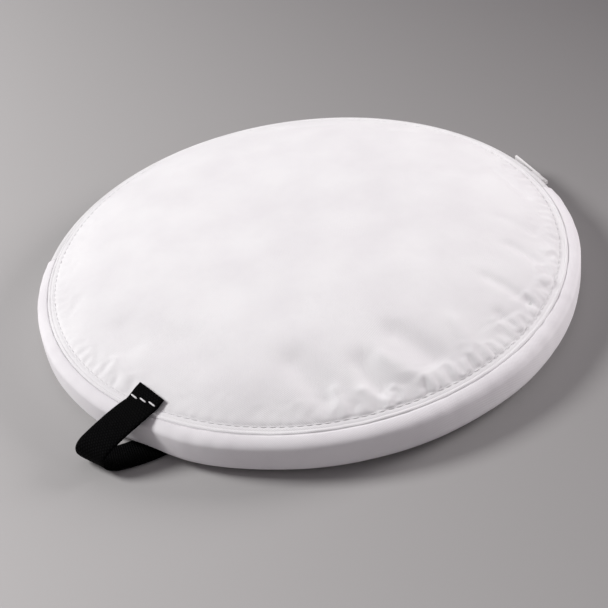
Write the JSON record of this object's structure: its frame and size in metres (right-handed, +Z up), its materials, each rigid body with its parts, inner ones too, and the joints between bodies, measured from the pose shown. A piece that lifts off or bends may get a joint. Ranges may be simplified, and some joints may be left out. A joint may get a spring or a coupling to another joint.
{
  "type": "collapsible backdrop panel",
  "caption": "Round collapsible backdrop panel, folded into its zipped white cloth pouch with a black webbing hang loop.",
  "frame": {"origin": "under the middle of the pouch, on the surface it lies on", "axes": "+Z up through the pouch's thickness; -Y towards the plain front of the gusset; +Y towards the zip"},
  "size_m": [0.24, 0.2399, 0.0336],
  "materials": {
    "pouch_fabric": "woven white polyester, matt with a faint sheen",
    "gusset_fabric": "the same white cloth, cut as a strip",
    "zipper_tape": "woven white tape",
    "zipper_coil": "moulded nylon coil",
    "zipper_metal": "nickel-plated, softly worn",
    "thread": "spun polyester thread",
    "binding": "folded seam tape",
    "webbing": "black ribbed webbing",
    "hoop_steel": "blackened spring steel",
    "ferrule_metal": "crimped sleeve",
    "channel_cloth": "black edge tape",
    "front_cloth": "matt cloth",
    "back_cloth": "matt cloth"
  },
  "bodies": {
    "pouch": {"top_panel": "pouch_fabric", "bottom_panel": "pouch_fabric", "gusset_band": "gusset_fabric", "zipper_tape_upper": "zipper_tape", "zipper_tape_lower": "zipper_tape", "zipper_coil_upper": "zipper_coil", "zipper_coil_lower": "zipper_coil", "zipper_stop_closed": "zipper_metal", "zipper_stop_open": "zipper_metal", "top_stitching": "thread", "bottom_stitching": "thread", "gusset_end_stitching": "thread", "hang_loop_stitching": "thread", "top_seam_binding": "binding", "bottom_seam_binding": "binding", "hang_loop": "webbing", "hoop_band": "hoop_steel", "hoop_ferrule": "ferrule_metal", "hoop_channel": "channel_cloth", "panel_front_cloth": "front_cloth", "panel_back_cloth": "back_cloth"},
    "slider": {"zipper_slider": "zipper_metal"},
    "pull": {"zipper_pull": "zipper_metal"}
  },
  "joints": [
    {"name": "slider_travel", "type": "hinge", "parent": "pouch", "child": "slider", "pos_m": [0, 0, 0], "axis": [0, 0, 1], "range_deg": [0, 140]},
    {"name": "pull_swing", "type": "hinge", "parent": "slider", "child": "pull", "pos_m": [0.11446, 0.04311, 0.00975], "axis": [0, 0, 1], "range_deg": [-150, 0]}
  ]
}
